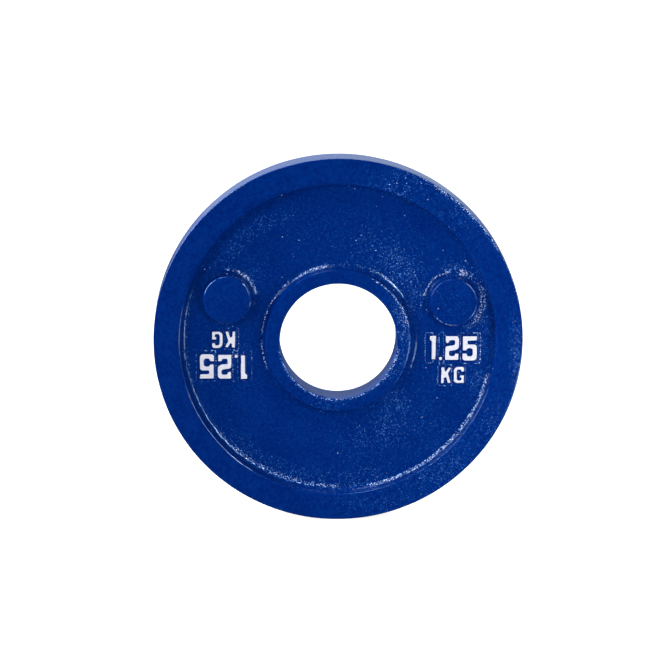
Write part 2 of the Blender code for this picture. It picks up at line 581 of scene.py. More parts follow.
def honeycomb(low: Place, high: Place, spacing: float) -> np.ndarray:
    """Evenly packed points in a box: rows of points, each second row moved by half a step.

    Args:
        low: the box's lower left corner.
        high: its upper right corner.
        spacing: the distance between neighbours.

    Returns:
        The points, two columns.
    """
    row_step = spacing * math.sqrt(3) / 2
    rows = np.arange(low[1], high[1], row_step)
    columns = np.arange(low[0], high[0], spacing)
    across, up = np.meshgrid(columns, rows)
    across = across + (np.arange(len(rows)) % 2)[:, None] * spacing / 2
    return np.stack([across.ravel(), up.ravel()], axis=1)


def radius_from(points: np.ndarray, centre: Place = BORE_AXIS) -> np.ndarray:
    """How far each point lies from a centre."""
    return np.hypot(points[:, 0] - centre[0], points[:, 1] - centre[1])


def cast_waves(points: np.ndarray, shortest: float, longest: float, seed: int) -> np.ndarray:
    """An uneven surface as a number for each point, with a spread of about 1.

    It is a sum of cosine waves. Each has a random direction and phase and a length between the two given,
    and its height goes with its length.

    Args:
        points: places in metres, three columns.
        shortest: the shortest wave.
        longest: the longest wave.
        seed: what the random numbers start from.

    Returns:
        One number for each point.
    """
    count = 40
    chance = np.random.default_rng(seed)
    lengths = np.exp(chance.uniform(math.log(shortest), math.log(longest), count))
    directions = chance.normal(size=(count, 3))
    directions /= np.linalg.norm(directions, axis=1, keepdims=True)
    phases = chance.uniform(0.0, FULL_TURN, count)
    heights = lengths / math.sqrt(float((lengths**2).sum()) / 2)
    turns = points @ (directions * (FULL_TURN / lengths)[:, None]).T + phases
    return np.cos(turns) @ heights


def rounded_outline(corners: np.ndarray, steps: int = 5) -> np.ndarray:
    """A closed outline with its corners rounded.

    Each corner's arc touches both its sides, radius / tan(half the corner's angle) away from it, or at most
    0.48 of the shorter side. The arc's points turn evenly between its two touching spokes.

    Args:
        corners: across, up and radius of each corner, in order.
        steps: how many pieces each arc has.

    Returns:
        The outline's points, two columns.
    """
    place = corners[:, :2]
    before = np.roll(place, 1, axis=0) - place
    after = np.roll(place, -1, axis=0) - place
    before_length = np.linalg.norm(before, axis=1)
    after_length = np.linalg.norm(after, axis=1)
    before /= before_length[:, None]
    after /= after_length[:, None]
    half = np.arccos(np.clip((before * after).sum(axis=1), -0.9999, 0.9999)) / 2
    reach = np.minimum(corners[:, 2] / np.tan(half), 0.48 * np.minimum(before_length, after_length))
    radius = reach * np.tan(half)
    middle = before + after
    middle /= np.linalg.norm(middle, axis=1)[:, None]
    centre = place + middle * (radius / np.sin(half))[:, None]
    start = place + before * reach[:, None] - centre
    end = place + after * reach[:, None] - centre
    sweep = (math.pi - 2 * half)[:, None, None]
    share = np.linspace(0.0, 1.0, steps + 1)[None, :, None]
    spokes = start[:, None] * np.sin((1 - share) * sweep) + end[:, None] * np.sin(share * sweep)
    points = centre[:, None] + spokes / np.sin(sweep)
    return points.reshape(-1, 2)


def outline_distance(points: np.ndarray, outline: np.ndarray) -> tuple[np.ndarray, np.ndarray]:
    """How far points lie outside a closed outline.

    The nearest place on each straight piece is the point's share along it, kept from 0 to 1, and the nearest
    of all the pieces counts. A point is inside when a line from it towards +X crosses the outline an odd
    number of times, and its distance is then negative.

    Args:
        points: two columns.
        outline: the closed outline's points, two columns.

    Returns:
        The signed distance of each point, and its nearest place on the outline.
    """
    start = outline[None]
    side = (np.roll(outline, -1, axis=0) - outline)[None]
    offset = points[:, None] - start
    length_squared = np.maximum((side**2).sum(axis=2), 1e-12)
    share = np.clip((offset * side).sum(axis=2) / length_squared, 0.0, 1.0)
    nearest = start + side * share[..., None]
    distances = np.linalg.norm(points[:, None] - nearest, axis=2)
    best = distances.argmin(axis=1)
    rows = np.arange(len(points))
    end = start + side
    above = start[..., 1] > points[:, None, 1]
    end_above = end[..., 1] > points[:, None, 1]
    rise = np.where(side[..., 1] == 0, 1.0, side[..., 1])
    meets = start[..., 0] + side[..., 0] * (points[:, None, 1] - start[..., 1]) / rise
    inside = ((above != end_above) & (points[:, None, 0] < meets)).sum(axis=1) % 2 == 1
    distance = distances[rows, best]
    return np.where(inside, -distance, distance), nearest[rows, best]


@dataclass(frozen=True)
class Figure:
    """One raised figure in millimetres: its place, and its corners as (across, up, rounding) from there."""

    across: float
    up: float
    corners: tuple[tuple[float, float, float], ...]

    def outline(self) -> np.ndarray:
        """Puts the figure in its place.

        Returns:
            Its rounded outline in the legend's own frame, in metres.
        """
        corners = np.array(self.corners, dtype=float)
        corners[:, 0] += self.across
        corners[:, 1] += self.up
        return rounded_outline(corners) * MM


ONE = (
    (0.0, 10.75, 0.35), (3.1, 10.75, 0.3), (2.9, 0.0, 0.3), (0.9, 0.0, 0.3), (0.9, 8.1, 0.3),
    (0.0, 8.8, 0.3),
)
TWO = (
    (0.1, 10.9, 0.7), (6.3, 10.9, 1.5), (6.25, 5.2, 1.4), (4.3, 4.2, 0.8), (1.95, 4.1, 0.5),
    (1.95, 2.05, 0.7), (4.1, 2.05, 0.5), (4.3, 3.1, 0.35), (6.05, 3.1, 0.3), (6.0, 0.0, 0.4),
    (-0.1, 0.0, 0.25), (0.1, 6.3, 1.0), (4.2, 6.9, 0.6), (4.35, 8.8, 0.6), (2.2, 8.8, 0.4),
    (1.6, 7.6, 0.5), (0.3, 7.6, 0.35),
)
FIVE = (
    (0.14, 11.2, 0.3), (6.65, 11.2, 0.4), (6.4, 9.0, 0.5), (2.5, 8.9, 0.3), (2.5, 7.6, 0.3),
    (6.55, 7.6, 1.5), (6.55, 0.05, 1.6), (0.0, 0.05, 1.3), (0.0, 3.5, 0.35), (2.0, 3.5, 0.6),
    (2.35, 2.3, 0.6), (4.45, 2.3, 0.8), (4.45, 5.5, 0.8), (2.5, 5.5, 0.5), (1.8, 4.6, 0.4),
    (0.14, 4.65, 0.35),
)
KILO = (
    (0.15, 7.4, 0.4), (1.75, 7.4, 0.4), (1.95, 5.1, 0.2), (3.4, 7.4, 0.35), (4.75, 7.0, 0.35),
    (3.35, 4.4, 0.3), (4.6, 0.1, 0.4), (3.05, 0.0, 0.4), (2.2, 2.8, 0.2), (1.55, 2.1, 0.2),
    (1.45, 0.0, 0.4), (0.0, 0.0, 0.35),
)
GRAM = (
    (0.0, 7.55, 2.2), (4.85, 7.55, 2.0), (4.85, 5.2, 0.4), (3.5, 5.0, 0.3), (3.2, 6.05, 0.5),
    (1.65, 6.05, 0.75), (1.65, 1.4, 0.7), (3.35, 1.4, 0.4), (3.35, 2.4, 0.2), (2.7, 2.5, 0.2),
    (2.75, 3.75, 0.2), (4.85, 3.75, 0.3), (4.8, 0.0, 0.3), (0.0, 0.0, 1.8),
)
POINT = ((-0.85, 0.85, 0.8), (0.85, 0.85, 0.8), (0.85, -0.85, 0.8), (-0.85, -0.85, 0.8))


@dataclass(frozen=True)
class Tile:
    """The faint raised rectangle that a figure's pattern stood on, in millimetres in the legend's frame."""

    left: float
    bottom: float
    right: float
    top: float
    rounding: float = 0.5

    def outline(self) -> np.ndarray:
        """Works out the rectangle.

        Returns:
            Its rounded outline in the legend's own frame, in metres.
        """
        corners = [
            (self.left, self.top, self.rounding),
            (self.right, self.top, self.rounding),
            (self.right, self.bottom, self.rounding),
            (self.left, self.bottom, self.rounding),
        ]
        return rounded_outline(np.array(corners)) * MM


@dataclass(frozen=True)
class Legend:
    """The plate's weight in raised figures: its middle in metres and which way up it stands."""

    across: float
    up: float
    upside_down: bool
    figures: tuple[Figure, ...] = (
        Figure(-10.65, 0.15, ONE),
        Figure(-5.75, 0.65, POINT),
        Figure(-3.85, -0.15, TWO),
        Figure(3.65, -0.55, FIVE),
        Figure(-5.6, -10.5, KILO),
        Figure(-0.1, -10.5, GRAM),
    )
    tiles: tuple[Tile, ...] = (
        Tile(-12.5, -1.4, -8.9, 12.0),
        Tile(-6.4, -1.6, -4.3, 12.2),
        Tile(3.0, -1.8, 11.6, 11.8),
        Tile(-6.9, -11.7, -0.8, -2.2),
    )

    @property
    def middle(self) -> np.ndarray:
        """The legend's middle on the plate."""
        return np.array([self.across, self.up])

    @property
    def sign(self) -> float:
        """What turns the plate's directions into the legend's: -1 if it stands on its head."""
        return -1.0 if self.upside_down else 1.0

    def around(self, points: np.ndarray, reach: float) -> np.ndarray:
        """Which points lie in the square that reaches this far from the legend's middle."""
        return np.abs(points - self.middle).max(axis=1) < reach

    def local(self, points: np.ndarray) -> np.ndarray:
        """Places on the plate as seen from the legend: less its middle, times its sign."""
        return (points - self.middle) * self.sign

    def nearest(self, points: np.ndarray) -> tuple[np.ndarray, np.ndarray]:
        """Distance outside the nearest figure, negative on it, and the nearest place on its edge.

        Args:
            points: places on the plate, two columns.

        Returns:
            Distances, and places on the plate.
        """
        seen = self.local(points)
        best = np.full(len(points), FAR_OFF)
        edge = seen.copy()
        for figure in self.figures:
            distance, place = outline_distance(seen, figure.outline())
            closer = distance < best
            best = np.where(closer, distance, best)
            edge = np.where(closer[:, None], place, edge)
        return best, edge * self.sign + self.middle

    def tile_distance(self, points: np.ndarray) -> np.ndarray:
        """Distance outside the nearest tile, negative on it."""
        seen = self.local(points)
        distances = [outline_distance(seen, tile.outline())[0] for tile in self.tiles]
        return np.minimum.reduce(distances)


class Zone(Enum):
    """Where a rough patch counts: on the sunk web with its fillets, or on the raised faces."""

    WEB = "web"
    FACE = "face"


@dataclass(frozen=True)
class RoughPatch:
    """A patch of coarser cast grain: its middle and half sizes in millimetres, and how coarse it is."""

    zone: Zone
    across: float
    up: float
    half_width: float
    half_height: float
    amount: float

    def weight(self, points: np.ndarray) -> np.ndarray:
        """How much of the patch each point gets: amount * exp(-(distance in half sizes) squared).

        Args:
            points: places across and up in metres, two columns.

        Returns:
            One number for each point.
        """
        side = (points[:, 0] / MM - self.across) / self.half_width
        rise = (points[:, 1] / MM - self.up) / self.half_height
        return self.amount * np.exp(-(side**2) - rise**2)


@dataclass(frozen=True)
class EdgeArc:
    """A stretch of an edge or fillet that is matt with painted shade, or grainy with painted glints.

    Its centre is in metres, its radius and half width in millimetres, and its angles in degrees.
    """

    centre: Place
    radius: float
    half_width: float
    start: float
    stop: float
    amount: float
    fade: float

    def weight(self, points: np.ndarray) -> np.ndarray:
        """How much of the finish each point gets.

        It is the amount times exp(-(distance from the arc's radius in half widths) to the fourth power),
        times a slope that rises over the fade at both ends of the arc.

        Args:
            points: places across and up in metres, two columns.

        Returns:
            One number for each point.
        """
        away = (radius_from(points, self.centre) / MM - self.radius) / self.half_width
        angle = np.degrees(np.arctan2(points[:, 1] - self.centre[1], points[:, 0] - self.centre[0]))
        middle = (self.start + self.stop) / 2
        off_middle = np.abs((angle - middle + 180.0) % 360.0 - 180.0)
        inside = np.clip(((self.stop - self.start) / 2 - off_middle) / self.fade + 0.5, 0.0, 1.0)
        return self.amount * np.exp(-(away**4)) * inside


def arcs_round(centre: Place, rows: tuple[tuple[float, ...], ...]) -> tuple[EdgeArc, ...]:
    """Arcs about one centre, each from a row of its other values."""
    return tuple(EdgeArc(centre, *row) for row in rows)


# Rough patches of the web and of the raised faces, which also place painted glints.
# Their columns: across, up, half width, half height, amount.
WEB_PATCHES = (
    (27.0, 31.0, 9.0, 10.0, 0.45),
    (14.0, 42.0, 13.0, 12.0, 0.28),
    (-12.0, 48.0, 16.0, 12.0, 0.10),
    (33.0, 17.0, 6.0, 10.0, 0.32),
    (62.0, 4.0, 4.5, 14.0, 0.22),
    (62.5, 17.0, 3.5, 9.0, 0.20),
    (52.0, 30.0, 8.0, 5.0, 0.50),
    (60.0, -20.0, 5.0, 9.0, 0.24),
    (50.5, -9.0, 15.0, 14.0, 0.16),
    (26.5, -27.0, 6.0, 6.0, 0.44),
    (20.0, -39.0, 10.0, 8.0, 0.32),
    (8.0, -47.0, 11.0, 10.0, 0.24),
    (38.0, -42.0, 16.0, 14.0, 0.20),
    (14.0, -62.0, 16.0, 5.0, 0.35),
    (-39.0, 28.0, 7.0, 7.0, 0.35),
    (-50.0, -7.0, 15.0, 14.0, 0.17),
)
FACE_PATCHES = (
    (28.0, 10.0, 5.0, 18.0, 0.70),
    (24.0, -14.0, 7.0, 7.0, 0.34),
    (-6.0, -28.0, 8.0, 4.0, 0.45),
    (28.0, 70.0, 15.0, 8.0, 0.44),
    (52.0, 54.0, 14.0, 14.0, 0.30),
    (77.0, -2.0, 3.0, 24.0, 0.42),
    (46.0, -60.0, 26.0, 18.0, 0.42),
    (67.0, -36.0, 12.0, 12.0, 0.30),
    (12.0, -74.0, 20.0, 6.0, 0.30),
    (50.0, 17.0, 11.0, 11.0, 0.20),
)
# Arcs about the bore's axis and about each boss's: radius, half width, start, stop, amount, fade.
# The first three tables take the gloss away and paint shade: darker bands in the recesses, beside the walls,
# under the hub and round the bosses.
MATT_PAINTED_SHADE_ROUND_BORE = (
    (33.4, 1.7, -1.0, 34.0, 1.0, 4.0),
    (32.6, 1.9, 124.0, 205.0, 0.80, 14.0),
    (31.2, 0.8, 88.0, 165.0, 0.60, 12.0),
    (36.8, 3.6, 205.0, 300.0, 0.45, 24.0),
    (67.6, 2.0, 92.0, 162.0, 1.0, 8.0),
    (64.2, 4.2, 18.0, 112.0, 0.50, 24.0),
    (68.0, 0.8, 162.0, 250.0, 0.82, 8.0),
    (68.4, 0.9, 286.0, 352.0, 0.70, 8.0),
    (33.4, 1.7, -44.0, -1.0, 0.55, 4.0),
)
MATT_PAINTED_SHADE_ROUND_RIGHT_BOSS = (
    (11.9, 1.2, -80.0, 28.0, 1.0, 6.0),
    (12.5, 1.0, 28.0, 98.0, 0.90, 6.0),
    (11.1, 1.2, 98.0, 190.0, 0.88, 6.0),
)
MATT_PAINTED_SHADE_ROUND_LEFT_BOSS = (
    (11.7, 1.0, -75.0, 5.0, 0.90, 6.0),
    (11.7, 0.8, 5.0, 80.0, 0.70, 6.0),
)
# The rough tables add grain along edges and fillets, which also paints dotted highlights there.
ROUGH_GLINT_ROUND_BORE = (
    (66.0, 1.2, 222.0, 276.0, 0.50, 16.0),
    (62.6, 4.2, 220.0, 268.0, 0.30, 16.0),
    (60.5, 4.0, 112.0, 150.0, 0.32, 16.0),
    (65.8, 0.7, 160.0, 222.0, 0.35, 2.5),
    (67.0, 0.6, 282.0, 346.0, 1.00, 8.0),
    (70.0, 0.6, 50.0, 82.0, 0.95, 8.0),
    (79.6, 0.3, 28.0, 60.0, 0.85, 8.0),
    (33.4, 0.7, 60.0, 130.0, 0.30, 2.5),
    (33.2, 0.5, 128.0, 205.0, 0.85, 2.5),
    (32.8, 0.5, 98.0, 122.0, 0.90, 2.5),
    (31.0, 0.4, 16.0, 60.0, 1.50, 10.0),
    (26.0, 0.4, 185.0, 350.0, 0.72, 12.0),
)
ROUGH_GLINT_ROUND_LEFT_BOSS = ((12.7, 0.7, 5.0, 95.0, 0.70, 2.5),)
ROUGH_GLINT_ROUND_RIGHT_BOSS = (
    (13.0, 1.5, -70.0, 78.0, 0.46, 12.0),
    (12.9, 0.6, 95.0, 175.0, 0.90, 2.5),
    (10.4, 0.5, 212.0, 280.0, 1.00, 6.0),
)


@dataclass
class Skin:
    """Points and triangles of a piece of surface, with the points in metres."""

    points: np.ndarray
    triangles: np.ndarray

    @staticmethod
    def joined(skins: list["Skin"]) -> "Skin":
        """Joins several skins, with the triangles counted on from each to the next.

        Args:
            skins: the parts of a surface.

        Returns:
            One skin.
        """
        starts = np.cumsum([0] + [len(skin.points) for skin in skins[:-1]])
        points = np.concatenate([skin.points for skin in skins])
        triangles = np.concatenate([skin.triangles + start for skin, start in zip(skins, starts)])
        return Skin(points, triangles)


def grid_skin(points: np.ndarray) -> Skin:
    """Joins rows of points, each a closed ring, into triangles.

    Each cell between two rows and two columns becomes two triangles, and the last column joins the first.

    Args:
        points: rows of points, shaped (rows, columns, 3).

    Returns:
        The skin.
    """
    rows, columns, _ = points.shape
    across = np.arange(columns)
    following = (across + 1) % columns
    row = np.arange(rows - 1)[:, None] * columns
    first = (row + across).ravel()
    second = (row + following).ravel()
    third = (row + columns + following).ravel()
    fourth = (row + columns + across).ravel()
    triangles = np.concatenate([np.stack([first, second, third], 1), np.stack([first, third, fourth], 1)])
    return Skin(points.reshape(-1, 3), triangles)


def turned_skin(radius: np.ndarray, along: np.ndarray, count: int, centre: Place = BORE_AXIS) -> Skin:
    """A surface about an axis along Y: (radius cosine, along, radius sine) of evenly spaced angles.

    Args:
        radius: for each point of the section one radius, which may be 0 at an end, or a row of them.
        along: the section's Y.
        count: how many points go round.
        centre: where the axis is, across and up.

    Returns:
        The skin.
    """
    angle = np.arange(count) * (FULL_TURN / count)
    radius = radius.reshape(len(along), -1)
    points = np.empty((len(along), count, 3))
    points[..., 0] = centre[0] + radius * np.cos(angle)
    points[..., 1] = along[:, None]
    points[..., 2] = centre[1] + radius * np.sin(angle)
    return grid_skin(points)


def add_object(name: str, data: bpy.types.ID) -> bpy.types.Object:
    """Puts a new object with this mesh, lamp or camera into the scene, at the origin."""
    obj = bpy.data.objects.new(name, data)
    bpy.context.scene.collection.objects.link(obj)
    return obj


def new_mesh(name: str, skin: Skin) -> bpy.types.Object:
    """Makes an object from a skin, joins the points that its parts share and turns its faces outwards.

    Args:
        name: the piece's name.
        skin: its surface.

    Returns:
        The object, at the origin, in the scene.
    """
    mesh = bpy.data.meshes.new(name)
    mesh.from_pydata(skin.points.tolist(), [], skin.triangles.tolist())
    shape = bmesh.new()
    shape.from_mesh(mesh)
    bmesh.ops.remove_doubles(shape, verts=shape.verts[:], dist=SAME_POINT)
    bmesh.ops.dissolve_degenerate(shape, dist=SAME_POINT, edges=shape.edges[:])
    bmesh.ops.recalc_face_normals(shape, faces=shape.faces[:])
    shape.to_mesh(mesh)
    shape.free()
    mesh.shade_smooth()
    return add_object(name, mesh)


def in_threes(items: Any, name: str, width: int, kind: type) -> np.ndarray:
    """Reads one value of all of a mesh's items, in rows of three.

    Args:
        items: the mesh's vertices, vertex normals or loops.
        name: the value's name.
        width: how many numbers each item has.
        kind: the kind of number.

    Returns:
        An array with three columns.
    """
    flat = np.empty(len(items) * width, dtype=kind)
    items.foreach_get(name, flat)
    return flat.reshape(-1, 3)


def mesh_points(mesh: bpy.types.Mesh) -> np.ndarray:
    """A mesh's points as an array."""
    return in_threes(mesh.vertices, "co", 3, np.float32).astype(float)


def carry(mesh: bpy.types.Mesh, name: str, values: np.ndarray) -> None:
    """Gives a mesh a number on each of its points, for its material to read."""
    attribute = mesh.attributes.new(name, "FLOAT", "POINT")
    attribute.data.foreach_set("value", values.astype(np.float32))


@dataclass
class Casting:
    """The painted casting: rim, web, hub, the two bosses with their ports, and the raised figures.

    A corner is the rounding of a face's edge, and a root is the fillet between a wall and the web. Figures
    and tiles are looked for in squares that reach figure_reach and tile_reach from a legend's middle. The
    fine points lie on the figures and up to fine_band outside them, the web's own points start fine_gap
    outside them, and points in the snap band are moved onto even steps from a figure's edge. Each rise is
    the height of waves on the surface.
    """

    outer_radius: float
    half_thickness: float
    boss_centres: tuple[Place, ...]
    legends: tuple[Legend, ...]
    rough_patches: tuple[RoughPatch, ...]
    matt_painted_shade_arcs: tuple[EdgeArc, ...]
    rough_glint_arcs: tuple[EdgeArc, ...]
    bore_radius: float = 0.0253
    half_web: float = 0.0026
    rim_width: float = 0.0115
    hub_width: float = 0.0061
    boss_radius: float = 0.0103
    draft: float = math.radians(9.0)
    rim_corner: float = 0.0010
    rim_root: float = 0.0026
    hub_corner: float = 0.0011
    hub_root: float = 0.0034
    boss_corner: float = 0.0009
    boss_root: float = 0.0022
    outer_edge: float = 0.0004
    bore_edge: float = 0.0004
    edge_strip: float = 0.00012
    port_radius: float = 0.0073
    port_mouth: float = 0.0006
    port_floor: float = -0.0046
    boss_core: float = 0.0015
    figure_rise: float = 0.00075
    figure_edge: float = 0.0004
    figure_reach: float = 0.014
    tile_reach: float = 0.017
    front_spacing: float = 0.00074
    back_spacing: float = 0.00140
    fine_reach: float = 0.0125
    fine_spacing: float = 0.00024
    fine_band: float = 0.0010
    fine_gap: float = 0.0012
    snap_band: float = 0.0005
    snap_step: float = 0.0002
    short_waves: tuple[float, float] = (0.0016, 0.0045)
    long_waves: tuple[float, float] = (0.009, 0.035)
    long_rise: float = 0.000012
    short_rise: float = 0.000006
    web_rise: float = 0.000018
    grain_rise: float = 0.000035
    paint_inset: float = 0.00018
    paint_above: float = 0.00005
    paint_below: float = 0.00010
    rim_count: int = 540
    hub_count: int = 280
    boss_count: int = 110

    def __post_init__(self) -> None:
        """Works out the three shoulders, the places out along each, and the radii at which they start."""
        heights = (self.half_thickness, self.half_web, self.draft)
        self.rim_shoulder = Shoulder(*heights, self.rim_corner, self.rim_root)
        self.hub_shoulder = Shoulder(*heights, self.hub_corner, self.hub_root)
        self.boss_shoulder = Shoulder(*heights, self.boss_corner, self.boss_root)
        self.rim_out, _ = self.rim_shoulder.section()
        self.hub_out, _ = self.hub_shoulder.section()
        self.boss_out, _ = self.boss_shoulder.section()
        self.rim_radius = self.outer_radius - self.rim_width
        self.hub_radius = self.bore_radius + self.hub_width
        self.sheet_inside = self.bore_radius + self.bore_edge
        self.sheet_outside = self.outer_radius - self.outer_edge

    def height(self, points: np.ndarray) -> np.ndarray:
        """How far the bare casting stands out from its middle plane.

        It is the highest of the shoulders' heights: the rim's at (rim radius - r), the hub's at (r - hub
        radius) and each boss's at (distance to its axis - boss radius).

        Args:
            points: places across and up, two columns.

        Returns:
            Heights in metres.
        """
        radius = radius_from(points)
        heights = [
            self.rim_shoulder.height(self.rim_radius - radius),
            self.hub_shoulder.height(radius - self.hub_radius),
        ]
        for centre in self.boss_centres:
            heights.append(self.boss_shoulder.height(radius_from(points, centre) - self.boss_radius))
        return np.maximum.reduce(heights)

    def figure_distance(self, points: np.ndarray) -> tuple[np.ndarray, np.ndarray]:
        """How far points lie outside the nearest raised figure.

        Args:
            points: places across and up, two columns.

        Returns:
            Distances, negative on a figure, and the nearest places on a figure's edge.
        """
        best = np.full(len(points), FAR_OFF)
        edge = points.copy()
        for legend in self.legends:
            near = legend.around(points, self.figure_reach)
            best[near], edge[near] = legend.nearest(points[near])
        return best, edge

    def figure_height(self, distance: np.ndarray) -> np.ndarray:
        """The figures' rise outside their edge: flat, a rounded edge, a steep side and a small foot."""
        out = np.array([-0.20, 0.0, 0.10, 0.20, 0.30, 0.42, 0.60]) * MM
        up = np.array([1.0, 0.93, 0.72, 0.36, 0.12, 0.03, 0.0]) * self.figure_rise
        return np.interp(distance, out, up)

    def _shoulder_rings(self, side: Side) -> np.ndarray:
        """Rings of points that follow the rim's, the hub's and the bosses' sections.

        The first two rings in from the outer edge and from the bore's edge are close together, so that the
        face beside the edge is shaded flat.

        Args:
            side: the face that they are for. The back has fewer, and none over its ports.

        Returns:
            Places across and up, two columns.
        """
        front = side is Side.FRONT
        rim_rings, hub_rings, boss_rings = (7, 4, 6) if front else (4, 4, 3)
        rim_edge = self.sheet_outside - self.edge_strip
        rim_face = np.linspace(rim_edge, self.rim_radius - self.rim_out[0], rim_rings)[:-1]
        hub_edge = self.sheet_inside + self.edge_strip
        hub_face = np.linspace(hub_edge, self.hub_radius + self.hub_out[0], hub_rings)[:-1]
        rim_radii = [[self.sheet_outside], rim_face, self.rim_radius - self.rim_out]
        hub_radii = [[self.sheet_inside], hub_face, self.hub_radius + self.hub_out]
        groups = [
            rings(np.concatenate(rim_radii), self.rim_count),
            rings(np.concatenate(hub_radii), self.hub_count),
        ]
        core = self.boss_core if front else self.port_radius + self.port_mouth
        boss_face = np.linspace(core, self.boss_radius + self.boss_out[0], boss_rings)[:-1]
        boss_radii = np.concatenate([boss_face, self.boss_radius + self.boss_out])
        for centre in self.boss_centres:
            if front:
                groups.append(np.array([centre]))
            groups.append(rings(boss_radii, self.boss_count, centre))
        return np.concatenate(groups)

    def _web_points(self, side: Side) -> np.ndarray:
        """Evenly packed points on the web, clear of the rings.

        Args:
            side: the face that they are for. The front also has the fine points of its figures.

        Returns:
            Places across and up, two columns.
        """
        spacing = self.front_spacing if side is Side.FRONT else self.back_spacing
        clear = 0.6 * spacing
        reach = self.rim_radius
        web = honeycomb((-reach, -reach), (reach, reach), spacing)
        radius = radius_from(web)
        keep = radius < self.rim_radius - self.rim_out[-1] - clear
        keep &= radius > self.hub_radius + self.hub_out[-1] + clear
        for centre in self.boss_centres:
            keep &= radius_from(web, centre) > self.boss_radius + self.boss_out[-1] + clear
        web = web[keep]
        if side is Side.BACK:
            return web
        distance, _ = self.figure_distance(web)
        return np.concatenate([web[distance > self.fine_gap], *map(self._fine_points, self.legends)])

    def _fine_points(self, legend: Legend) -> np.ndarray:
        """Fine points on a legend's figures and close round them.

        A point close to a figure's edge is moved to the nearest of a few even steps from it, straight away
        from the nearest place on the edge, so that the edge is a clean line.

        Args:
            legend: the figures that they are for.

        Returns:
            Places across and up, two columns.
        """
        low, high = legend.middle - self.fine_reach, legend.middle + self.fine_reach
        fine = honeycomb(low, high, self.fine_spacing)
        distance, edge = self.figure_distance(fine)
        near = distance < self.fine_band
        fine, distance, edge = fine[near], distance[near], edge[near]
        level = np.round(distance / self.snap_step) * self.snap_step
        length = np.maximum(np.abs(distance), 1e-9)[:, None]
        snapped = edge + (fine - edge) / length * np.abs(level)[:, None]
        close = np.abs(distance) < self.snap_band
        return np.where(close[:, None], snapped, fine)

    def _sheet(self, side: Side) -> Skin:
        """One face of the plate, from the bore's edge to the rim's.

        Its points are joined into triangles and given their height. The triangles across the bore's opening
        and the ports' are left out.

        Args:
            side: which face it is.

        Returns:
            The skin.
        """
        flat = np.concatenate([self._shoulder_rings(side), self._web_points(side)]) / MM
        corners = [Vector(pair) for pair in flat.tolist()]
        places, _, faces, *_ = delaunay_2d_cdt(corners, [], [], 0, CLOSEST_IN_MM)
        places = np.array([tuple(place) for place in places]) * MM
        triangles = np.array(faces)
        openings = [(BORE_AXIS, self.sheet_inside)]
        if side is Side.BACK:
            openings += [(centre, self.port_radius + self.port_mouth) for centre in self.boss_centres]
        drop = np.zeros(len(triangles), dtype=bool)
        for centre, radius in openings:
            within = radius_from(places, centre) < radius + ROUNDING_ROOM
            drop |= within[triangles].all(axis=1)
        height = self.height(places)
        if side is Side.FRONT:
            distance, _ = self.figure_distance(places)
            height = height + self.figure_height(distance)
        points = np.stack([places[:, 0], side.value * height, places[:, 1]], axis=1)
        return Skin(points, triangles[~drop])

    def _wall(self, radius: float, edge: float, count: int, inward: bool) -> Skin:
        """The bore's or the rim's cylinder with both its edges rounded.

        The section is a quarter circle of the edge's radius, a straight line and a quarter circle again.

        Args:
            radius: the cylinder's radius.
            edge: the radius of its two edges.
            count: how many points go round.
            inward: whether it faces the axis, as a bore does.

        Returns:
            The skin.
        """
        edge_points, wall_points = 5, 10
        quarter = np.linspace(0.0, math.pi / 2, edge_points)
        sign = 1.0 if inward else -1.0
        edge_radius = radius + sign * edge * (1 - np.sin(quarter))
        edge_along = self.half_thickness - edge * (1 - np.cos(quarter))
        middle = np.linspace(edge_along[-1], -edge_along[-1], wall_points)[1:-1]
        along = np.concatenate([edge_along, middle, -edge_along[::-1]])
        radii = np.concatenate([edge_radius, np.full(len(middle), radius), edge_radius[::-1]])
        return turned_skin(radii, along, count)

    def _port(self, centre: Place) -> Skin:
        """A blind port from the back: its countersunk mouth, its wall and its floor, closed at the axis.

        Args:
            centre: where its axis is, across and up.

        Returns:
            The skin.
        """
        wall_points = 12
        wall = np.linspace(self.half_thickness - self.port_mouth, self.port_floor, wall_points)
        mouth = self.port_radius + self.port_mouth
        radii = [mouth, *([self.port_radius] * len(wall)), self.port_radius * 0.5, 0.0]
        along = [self.half_thickness, *wall, self.port_floor, self.port_floor]
        return turned_skin(np.array(radii), np.array(along), self.boss_count, centre)

    def build(self) -> bpy.types.Object:
        """Makes the casting's mesh.

        The parts are joined into one closed surface. Each point then moves along its own normal by long low
        waves all over, and by short cast waves that are strongest where the grain is.

        Returns:
            The casting.
        """
        skins = [
            self._sheet(Side.FRONT),
            self._sheet(Side.BACK),
            self._wall(self.outer_radius, self.outer_edge, self.rim_count, inward=False),
            self._wall(self.bore_radius, self.bore_edge, self.hub_count, inward=True),
            *map(self._port, self.boss_centres),
        ]
        obj = new_mesh("cast_plate_body", Skin.joined(skins))
        mesh = obj.data
        points = mesh_points(mesh)
        normals = in_threes(mesh.vertex_normals, "vector", 3, np.float32).astype(float)
        grain = self._grain(points)
        short = cast_waves(points, *self.short_waves, seed=3)
        long = cast_waves(points, *self.long_waves, seed=8)
        web = self._web_share(points)
        short_rise = self.short_rise + web * (self.web_rise + self.grain_rise * grain)
        rise = self.long_rise * long + short * short_rise
        figure, _ = self.figure_distance(points[:, [0, 2]])
        on_figure = (figure < self.figure_edge) & (points[:, 1] < 0)
        rise = np.where(on_figure, rise * 0.4, rise)
        moved = points + normals * rise[:, None]
        mesh.vertices.foreach_set("co", moved.astype(np.float32).ravel())
        mesh.update()
        carry(mesh, "grain", grain)
        carry(mesh, "tile", self._tile_distance(points))
        carry(mesh, "bore", self._bore_share(points))
        carry(mesh, "matt_painted_shade", self._matt_painted_shade(points))
        return obj

